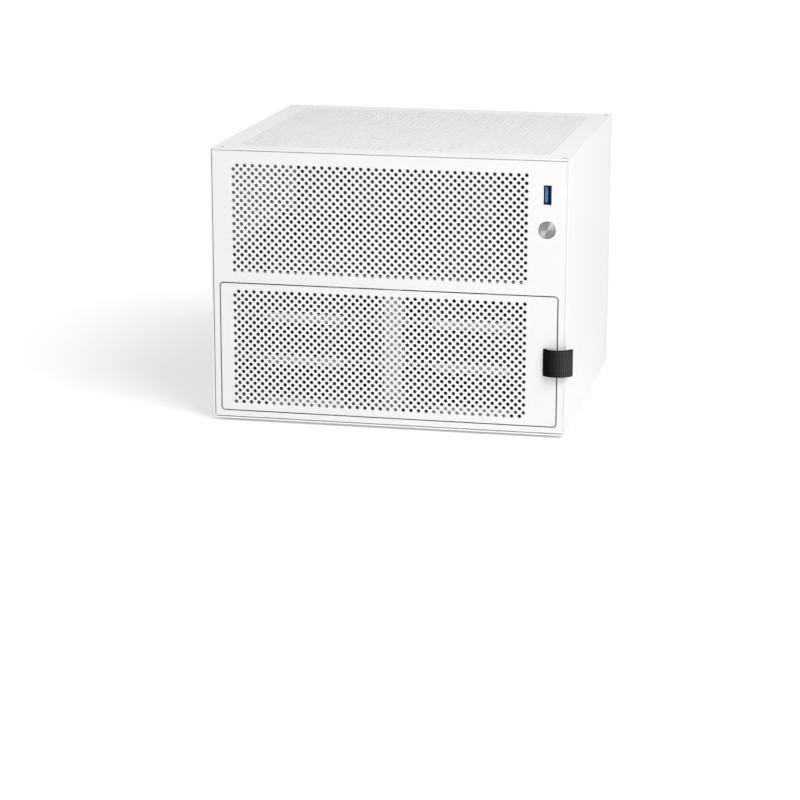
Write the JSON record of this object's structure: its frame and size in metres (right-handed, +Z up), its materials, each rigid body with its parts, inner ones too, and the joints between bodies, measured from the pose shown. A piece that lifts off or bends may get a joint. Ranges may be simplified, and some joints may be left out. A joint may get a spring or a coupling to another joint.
{
  "type": "nas case",
  "caption": "Desktop NAS case: folded sheet shell, perforated top and front, pull-off bay door with a webbing strap over drive sleds, shelf for a small main board, rear fans.",
  "frame": {"origin": "on the ground under the middle of the case, the strap's bulge included to within 2 mm", "axes": "+Z up, -Y out of the front, +X to the right seen from the front"},
  "size_m": [0.2696, 0.2499, 0.2058],
  "materials": {
    "white_powder_coat": "fine matt powder coat",
    "galvanised_steel": "bare zinc coated sheet",
    "circuit_board": "solder mask",
    "black_plastic": "moulded",
    "blue_plastic": "moulded",
    "nickel_plate": "plated",
    "turned_aluminium": "turned, with fine rings",
    "brass": "turned",
    "black_webbing": "ribbed woven nylon",
    "black_rubber": "moulded"
  },
  "bodies": {
    "case": {"backplane_board": "circuit_board", "base_shell": "white_powder_coat", "board_standoffs": "brass", "button_housing": "black_plastic", "button_switch": "black_plastic", "cage_divider": "galvanised_steel", "cage_left_wall": "galvanised_steel", "cage_right_wall": "galvanised_steel", "door_magnets": "nickel_plate", "drive_sled_1": "galvanised_steel", "drive_sled_2": "galvanised_steel", "drive_sled_3": "galvanised_steel", "drive_sled_4": "galvanised_steel", "drive_sled_5": "galvanised_steel", "drive_sled_6": "galvanised_steel", "drive_socket_1": "black_plastic", "drive_socket_2": "black_plastic", "drive_socket_3": "black_plastic", "drive_socket_4": "black_plastic", "drive_socket_5": "black_plastic", "drive_socket_6": "black_plastic", "fan_frame_left": "black_plastic", "fan_frame_right": "black_plastic", "feet": "black_rubber", "front_io_board": "circuit_board", "front_panel": "white_powder_coat", "io_blank": "galvanised_steel", "io_bracket": "galvanised_steel", "mid_shelf": "galvanised_steel", "panel_bracket_left": "galvanised_steel", "panel_bracket_right": "galvanised_steel", "psu_blank": "galvanised_steel", "rear_panel": "white_powder_coat", "top_cover": "white_powder_coat", "usb_shell": "nickel_plate", "usb_tongue": "blue_plastic"},
    "door": {"bay_door": "white_powder_coat", "pull_strap": "black_webbing", "strap_clamp": "black_plastic"},
    "power_button": {"button_cap": "turned_aluminium"},
    "fan_left": {"fan_impeller_left": "black_plastic"},
    "fan_right": {"fan_impeller_right": "black_plastic"}
  },
  "joints": [
    {"name": "door_pull", "type": "slide", "parent": "case", "child": "door", "axis": [0, -1, 0], "range_m": [0, 0.06]},
    {"name": "button_press", "type": "slide", "parent": "case", "child": "power_button", "axis": [0, 1, 0], "range_m": [0, 0.0012], "stiffness_N_per_m": 800},
    {"name": "fan_left_spin", "type": "hinge", "parent": "case", "child": "fan_left", "pos_m": [-0.0627, 0.1218, 0.0588], "axis": [0, 1, 0], "continuous": true},
    {"name": "fan_right_spin", "type": "hinge", "parent": "case", "child": "fan_right", "pos_m": [0.0627, 0.1218, 0.0588], "axis": [0, 1, 0], "continuous": true}
  ]
}
